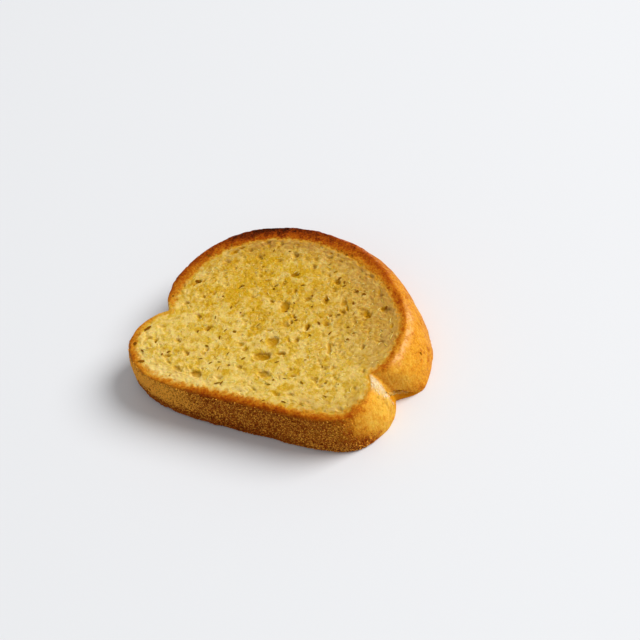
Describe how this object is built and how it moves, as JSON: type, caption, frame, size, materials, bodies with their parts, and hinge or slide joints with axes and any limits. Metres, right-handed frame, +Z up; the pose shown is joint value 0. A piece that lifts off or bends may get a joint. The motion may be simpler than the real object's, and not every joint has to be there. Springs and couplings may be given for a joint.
{
  "type": "slice of garlic bread",
  "caption": "Thick slice of toasted garlic bread with a domed top, a notched foot, open buttery crumb, herb flakes and a browned crust.",
  "frame": {"origin": "centre of the slice's box, on the underside that it rests on", "axes": "+X along the loaf's width and the longest extent, +Y from the foot to the crown of the dome, +Z up through the thickness"},
  "size_m": [0.1388, 0.1086, 0.0228],
  "materials": {
    "toasted_crumb": "matte",
    "baked_crust": "satin",
    "dried_herb": "matte"
  },
  "bodies": {
    "root": {"bread_slice": "toasted_crumb"}
  },
  "joints": []
}
